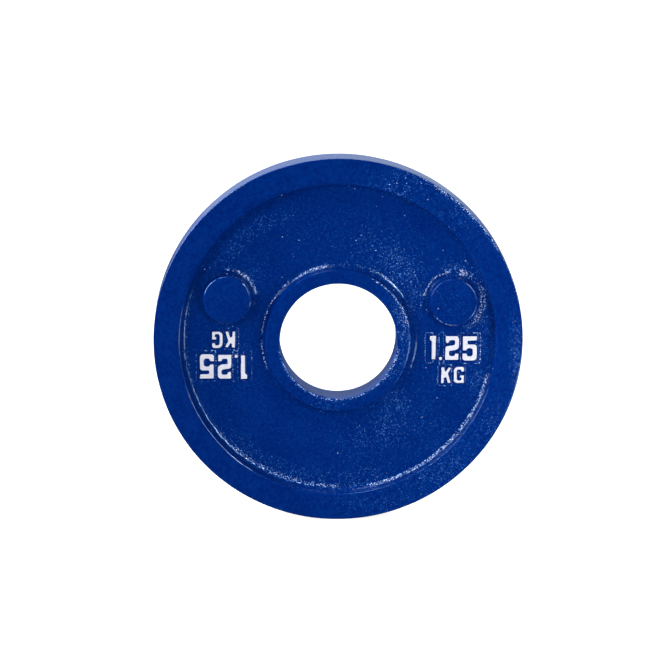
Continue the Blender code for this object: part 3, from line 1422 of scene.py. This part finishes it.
    def _web_share(self, points: np.ndarray) -> np.ndarray:
        """Which points belong to the web and its fillets.

        Args:
            points: places in metres, three columns.

        Returns:
            1 on the web and 0 on the faces above it, with an even slope between them on the walls.
        """
        slope_start, slope, slack = 0.0012, 0.0015, 0.0002
        share = (self.half_thickness - slope_start - np.abs(points[:, 1])) / slope
        radius = radius_from(points[:, [0, 2]])
        recess = (radius > self.hub_radius - slack) & (radius < self.rim_radius + slack)
        return np.clip(share, 0.0, 1.0) * recess

    def _bore_share(self, points: np.ndarray) -> np.ndarray:
        """1 on the bore's wall and 0 elsewhere."""
        radius = radius_from(points[:, [0, 2]])
        return np.clip((self.sheet_inside - radius) / (0.5 * self.bore_edge), 0.0, 1.0)

    def _grain(self, points: np.ndarray) -> np.ndarray:
        """How coarse the casting is at each point, from 0 to 1.

        The raised faces have a trace of grain, and the web and the shoulders a little more. A ring beside
        the bore's edge is coarse, most at the bottom. Each rough patch and arc adds its own. The painted
        glints in the paint's colour follow this number too.

        Args:
            points: places in metres, three columns.

        Returns:
            One number for each point.
        """
        flat = points[:, [0, 2]]
        web = self._web_share(points)
        level = (np.abs(points[:, 1]) - self.half_web) / (self.half_thickness - self.half_web)
        shoulder = np.clip((level - 0.004) / 0.03, 0.0, 1.0) * np.clip((0.996 - level) / 0.02, 0.0, 1.0)
        lip_middle, lip_half_width = 0.9, 0.7
        to_lip = (radius_from(flat) - self.bore_radius) / MM - lip_middle
        lip = np.exp(-((to_lip / lip_half_width) ** 2)) * np.clip(0.3 - points[:, 2] / 0.02, 0.0, 1.0)
        grain = 0.05 + 0.07 * web + 0.10 * shoulder + 0.50 * lip * (1 - web)
        front = points[:, 1] < 0
        for patch in self.rough_patches:
            share = web if patch.zone is Zone.WEB else 1 - web
            grain = grain + patch.weight(flat) * np.where(front, 1.0, 0.35) * share
        for arc in self.rough_glint_arcs:
            grain = grain + arc.weight(flat) * front
        return np.clip(grain, 0.0, 1.0)

    def _matt_painted_shade(self, points: np.ndarray) -> np.ndarray:
        """How matt each point of the front is, with painted shade, from 0 to 1.

        The painted shade lies along the arcs, which add up, and in a dark line 0.35 mm outside each figure.

        Args:
            points: places in metres, three columns.

        Returns:
            One number for each point.
        """
        flat = points[:, [0, 2]]
        line_middle, line_half_width = 0.35, 0.25
        outside, _ = self.figure_distance(flat)
        total = 0.8 * np.exp(-(((outside / MM - line_middle) / line_half_width) ** 2))
        for arc in self.matt_painted_shade_arcs:
            total = total + arc.weight(flat)
        return np.clip(total, 0.0, 1.0) * (points[:, 1] < 0)

    def _tile_distance(self, points: np.ndarray) -> np.ndarray:
        """Distance outside the nearest tile in millimetres, up to 5.

        Args:
            points: places in metres, three columns.

        Returns:
            One number for each point, which is 5 everywhere on the back.
        """
        farthest = 5.0
        flat = points[:, [0, 2]]
        best = np.full(len(points), farthest)
        for legend in self.legends:
            near = legend.around(flat, self.tile_reach) & (points[:, 1] < 0)
            best[near] = np.minimum(legend.tile_distance(flat[near]) / MM, farthest)
        return best

    def figure_tops(self, casting: bpy.types.Object) -> bpy.types.Object:
        """The paint on the figures' tops, as a thin closed layer on the casting's own triangles.

        Every triangle with all its corners well inside a figure's edge is taken. Its top copy lies just
        above the casting and its bottom copy just below it. Each edge that only one triangle uses gets a
        side.

        Args:
            casting: the casting's object.

        Returns:
            The layer of paint.
        """
        points = mesh_points(casting.data)
        triangles = in_threes(casting.data.loops, "vertex_index", 1, np.int32)
        distance, _ = self.figure_distance(points[:, [0, 2]])
        on_top = (distance < -self.paint_inset) & (points[:, 1] < -self.half_web)
        used, local = np.unique(triangles[on_top[triangles].all(axis=1)], return_inverse=True)
        chosen = local.reshape(-1, 3)
        above = points[used] + np.array([0.0, -self.paint_above, 0.0])
        below = points[used] + np.array([0.0, self.paint_below, 0.0])
        edges = np.concatenate([chosen[:, [0, 1]], chosen[:, [1, 2]], chosen[:, [2, 0]]])
        _, first, count = np.unique(np.sort(edges, axis=1), axis=0, return_index=True, return_counts=True)
        start, end = edges[first[count == 1]].T
        total = len(used)
        upper = np.stack([end, start, start + total], axis=1)
        lower = np.stack([end, start + total, end + total], axis=1)
        layer = np.concatenate([chosen, chosen[:, ::-1] + total, upper, lower])
        return new_mesh("weight_figures", Skin(np.concatenate([above, below]), layer))


@dataclass(frozen=True)
class PortPlug:
    """A threaded plug with a hexagon socket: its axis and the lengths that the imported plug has."""

    name: str
    centre: Place
    back: float
    end: float
    radius: float = 0.0070
    across_flats: float = 0.0060
    socket_depth: float = 0.0034
    drill_depth: float = 0.0009
    lead_in: float = 0.0003
    chamfer: float = 0.0006
    thread_pitch: float = 0.0015
    thread_depth: float = 0.00035
    thread_fade: float = 0.0005
    sharp_angle: float = math.radians(35.0)
    shank_rows: int = 40
    count: int = 144

    def build(self) -> bpy.types.Object:
        """Makes the plug.

        The surface is a grid of angle and place along the section: the drill's cone at the socket's floor,
        the socket's flats, the lead-in at its mouth, the plug's back face, the thread and the end. The
        socket's radius at an angle is half the across-flats size over the cosine of the angle to the middle
        of its flat. The thread's radius falls by its depth times a wave of (distance along the axis / pitch
        - angle / full turn), which fades out at both ends.

        Returns:
            The plug.
        """
        angle = np.arange(self.count) * (FULL_TURN / self.count)
        to_flat = (angle % (math.pi / 3)) - math.pi / 6
        hexagon = self.across_flats / 2 / np.cos(to_flat)
        mouth = self.across_flats / 2 / math.cos(math.pi / 6) + self.lead_in
        floor = self.back - self.socket_depth
        shank = np.linspace(self.back - self.chamfer, self.end + self.chamfer, self.shank_rows)
        phase = (shank[:, None] / self.thread_pitch - angle / FULL_TURN) % 1.0
        notch = 0.5 - 0.5 * np.cos(FULL_TURN * phase)
        to_end = np.minimum(self.back - self.chamfer - shank, shank - self.end - self.chamfer)
        fade = np.clip(to_end / self.thread_fade, 0.0, 1.0)[:, None]
        thread = self.radius - self.thread_depth * notch * fade
        rows = [
            (0.0, floor - self.drill_depth),
            (hexagon * 0.55, floor - 0.0004),
            (hexagon * 0.97, floor),
            *((hexagon, level) for level in np.linspace(floor + 0.0001, self.back - 0.0007, 5)),
            (np.maximum(hexagon, mouth - self.lead_in), self.back - 0.0004),
            (np.maximum(hexagon, mouth), self.back - 0.00005),
            (mouth + 0.0001, self.back),
            *((face, self.back) for face in np.linspace(mouth + 0.0005, self.radius - self.chamfer, 4)),
            *zip(thread, shank),
            (self.radius - self.chamfer, self.end),
            (0.0, self.end),
        ]
        radii = np.stack([np.broadcast_to(radius, self.count) for radius, _ in rows])
        along = np.array([level for _, level in rows])
        obj = new_mesh(self.name, turned_skin(radii, along, self.count, self.centre))
        obj.data.set_sharp_from_angle(angle=self.sharp_angle)
        return obj


def direction(azimuth: float, elevation: float) -> Vector:
    """The way from the plate to where it is seen from, at two angles in degrees.

    Azimuth 0 is straight in front of the plate and grows towards +X: (sine azimuth, -cosine azimuth) times
    the cosine of the elevation, and the sine of the elevation upwards.

    Args:
        azimuth: the angle round the plate.
        elevation: the angle above its middle.

    Returns:
        A vector of length 1.
    """
    turn = math.radians(azimuth)
    rise = math.radians(elevation)
    level = math.cos(rise)
    return Vector((math.sin(turn) * level, -math.cos(turn) * level, math.sin(rise)))


@dataclass(frozen=True)
class Softbox:
    """A rectangular lamp that looks at the plate's middle, with its place as seen from there.

    A lamp that isn't mirrored lights the plate without an image of itself in the gloss.
    """

    name: str
    azimuth: float
    elevation: float
    distance: float
    width: float
    height: float
    radiance: float
    mirrored: bool = True
    tint: tuple[float, float, float] = (1.0, 1.0, 1.0)

    def put_up(self) -> None:
        """Puts the lamp up. Its power is its radiance times pi times its area."""
        lamp = bpy.data.lights.new(self.name, "AREA")
        lamp.shape = "RECTANGLE"
        lamp.color = self.tint
        lamp.size = self.width
        lamp.size_y = self.height
        lamp.energy = self.radiance * math.pi * self.width * self.height
        towards = direction(self.azimuth, self.elevation)
        obj = add_object(self.name, lamp)
        obj.location = towards * self.distance
        obj.rotation_euler = towards.to_track_quat("Z", "Y").to_euler()
        obj.visible_camera = False
        obj.visible_glossy = self.mirrored


@dataclass(frozen=True)
class Camera:
    """The photograph's camera: its direction and distance, what it looks at and its lens."""

    azimuth: float = -1.72
    elevation: float = 12.75
    distance: float = 1.401
    aim: tuple[float, float, float] = (-0.00322, 0.0, 0.00323)
    focal_in_pixels: float = 3222.0
    sensor_width: float = 36.0
    nearest: float = 0.05
    farthest: float = 60.0

    def put_up(self) -> None:
        """Makes the camera and gives it to the scene."""
        data = bpy.data.cameras.new("camera")
        data.sensor_width = self.sensor_width
        data.lens = self.focal_in_pixels / PICTURE_WIDTH * self.sensor_width
        data.clip_start = self.nearest
        data.clip_end = self.farthest
        obj = add_object("camera", data)
        obj.location = direction(self.azimuth, self.elevation) * self.distance
        obj.rotation_euler = (Vector(self.aim) - obj.location).to_track_quat("-Z", "Y").to_euler()
        bpy.context.scene.camera = obj


@dataclass(frozen=True)
class Studio:
    """The white studio: a pale floor, a pale world behind the plate and softboxes in front of it."""

    floor_level: float
    floor_half: float = 6.0
    lamps: tuple[Softbox, ...] = (
        Softbox("fill_left", -45.0, 20.0, 1.1, 0.40, 0.40, 10.6, mirrored=False),
        Softbox("fill_right", 22.0, 8.0, 0.8, 0.24, 0.30, 2.9, mirrored=False),
        Softbox("fill_low", 50.0, -15.0, 0.28, 0.12, 0.08, 6.8, mirrored=False),
        Softbox("side_left", -85.0, 31.0, 0.9, 0.22, 0.80, 26.0),
        Softbox("overhead", -75.0, 74.0, 0.8, 0.25, 0.25, 7.0),
        Softbox("right_strip", 36.0, 12.0, 0.60, 0.07, 0.32, 16.0),
        Softbox("right_low", 44.0, -20.0, 0.21, 0.07, 0.05, 8.0),
        Softbox("glint_right", 29.0, 17.0, 0.90, 0.06, 0.06, 110.0, tint=(1.0, 0.80, 0.62)),
        Softbox("back_top", 180.0, 50.0, 0.9, 0.60, 0.20, 5.0),
    )

    def _floor(self) -> None:
        """A wide plane under the plate.

        Seen straight it is grey and glows, more behind the plate, so that it is white where no shadow lies.
        A mirror sees a dimmer bluish backdrop that brightens backwards, and other rays meet a plain grey.
        """
        half = self.floor_half
        corners = [(-half, -half), (half, -half), (half, half), (-half, half)]
        mesh = bpy.data.meshes.new("floor")
        mesh.from_pydata([(x, y, self.floor_level) for x, y in corners], [], [(0, 1, 2, 3)])
        obj = add_object("floor", mesh)
        material, shader = new_material("pale_floor")
        _, along, _ = shader.place().parts()
        glow = shader.glow(WHITE, 0.86 + along.step(0.15, 0.60) * 0.16)
        paint = shader.chalk(colour(0.50, 0.50, 0.50))
        pale = shader.signal("ShaderNodeAddShader", {}, {0: glow, 1: paint})
        sweep = along.step(0.0, 0.15) * 0.35 + along.step(0.3, 1.6) * 0.65
        backdrop = shader.glow(colour(0.42, 0.56, 1.0), sweep * 0.55)
        bounce = shader.chalk(colour(0.35, 0.35, 0.35))
        unseen = shader.blend(shader.ray("Is Glossy Ray"), bounce, backdrop)
        surface = shader.blend(shader.ray("Is Camera Ray"), unseen, pale)
        shader.output("ShaderNodeOutputMaterial", surface)
        mesh.materials.append(material)

    def _world(self) -> None:
        """Pale blue behind the plate and dark in front of it, but white wherever the camera sees it."""
        world = bpy.data.worlds.new("studio")
        bpy.context.scene.world = world
        world.use_nodes = True
        shader = Shader(world.node_tree)
        _, along, _ = shader.signal("ShaderNodeTexCoord", {}, {}, "Generated").parts()
        behind = along.step(-0.20, 0.45) * 0.72
        seen = shader.ray("Is Camera Ray")
        tint = shader.mix(seen, colour(0.56, 0.70, 1.0), WHITE)
        strength = seen + (1 - seen) * behind
        surface = shader.signal("ShaderNodeBackground", {}, {"Color": tint, "Strength": strength})
        shader.output("ShaderNodeOutputWorld", surface)

    def build(self) -> None:
        """Puts up the floor, the world and the lamps, and sets how colours are shown."""
        self._floor()
        self._world()
        for lamp in self.lamps:
            lamp.put_up()
        bpy.context.scene.view_settings.view_transform = "Standard"


def finish_node(node: bpy.types.Object, material: bpy.types.Material) -> None:
    """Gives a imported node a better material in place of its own."""
    for slot in node.material_slots:
        slot.material = material


def box_centre(node: str) -> Place:
    """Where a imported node's axis is, across and up."""
    low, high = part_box(node)
    return ((low.x + high.x) / 2, (low.z + high.z) / 2)


def main() -> None:
    """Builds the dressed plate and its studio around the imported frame."""
    logging.basicConfig(level=logging.INFO, format="%(name)s: %(message)s")
    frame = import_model()
    nodes = frame["nodes"]

    low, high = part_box("plate_casting")
    centres = tuple(box_centre(f"calibration_plug_{side}") for side in SIDES)
    left_boss, right_boss = centres
    casting = Casting(
        outer_radius=(high.x - low.x) / 2,
        half_thickness=(high.y - low.y) / 2,
        boss_centres=centres,
        legends=(
            Legend(0.05025, -0.00945, upside_down=False),
            Legend(-0.05005, -0.00658, upside_down=True),
        ),
        rough_patches=(
            *(RoughPatch(Zone.WEB, *row) for row in WEB_PATCHES),
            *(RoughPatch(Zone.FACE, *row) for row in FACE_PATCHES),
        ),
        matt_painted_shade_arcs=(
            *arcs_round(BORE_AXIS, MATT_PAINTED_SHADE_ROUND_BORE),
            *arcs_round(right_boss, MATT_PAINTED_SHADE_ROUND_RIGHT_BOSS),
            *arcs_round(left_boss, MATT_PAINTED_SHADE_ROUND_LEFT_BOSS),
        ),
        rough_glint_arcs=(
            *arcs_round(BORE_AXIS, ROUGH_GLINT_ROUND_BORE),
            *arcs_round(left_boss, ROUGH_GLINT_ROUND_LEFT_BOSS),
            *arcs_round(right_boss, ROUGH_GLINT_ROUND_RIGHT_BOSS),
        ),
    )
    body = casting.build()
    body.data.materials.append(CastPaint().material())
    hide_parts("plate_casting")
    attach(body, "root")
    LOG.info("casting: %d triangles", len(body.data.polygons))

    figures = casting.figure_tops(body)
    figures.data.materials.append(FigurePaint().material())
    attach(figures, "root")
    LOG.info("figures: %d triangles", len(figures.data.polygons))

    dark_zinc, light_zinc = colour(0.48, 0.48, 0.46), colour(0.66, 0.66, 0.64)
    dark_steel, light_steel = colour(0.26, 0.25, 0.24), colour(0.42, 0.41, 0.40)
    zinc = TurnedSteel("zinc_plated_plug", dark_zinc, light_zinc, 0.22, centres).material()
    bare = TurnedSteel("sawn_bare_steel", dark_steel, light_steel, 0.38, centres).material()
    for side, centre in zip(SIDES, centres):
        plug_low, plug_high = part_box(f"calibration_plug_{side}")
        plug = PortPlug(f"port_plug_{side}", centre, plug_high.y, plug_low.y).build()
        plug.data.materials.append(zinc)
        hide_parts(f"calibration_plug_{side}")
        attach(plug, "root")
        finish_node(nodes[f"trim_disc_{side}"], bare)
        finish_node(nodes[f"ballast_slug_{side}"], bare)
        LOG.info("plug %s: %d triangles", side, len(plug.data.polygons))

    Studio(floor_level=low.z).build()
    Camera().put_up()


if __name__ == "__main__":
    main()
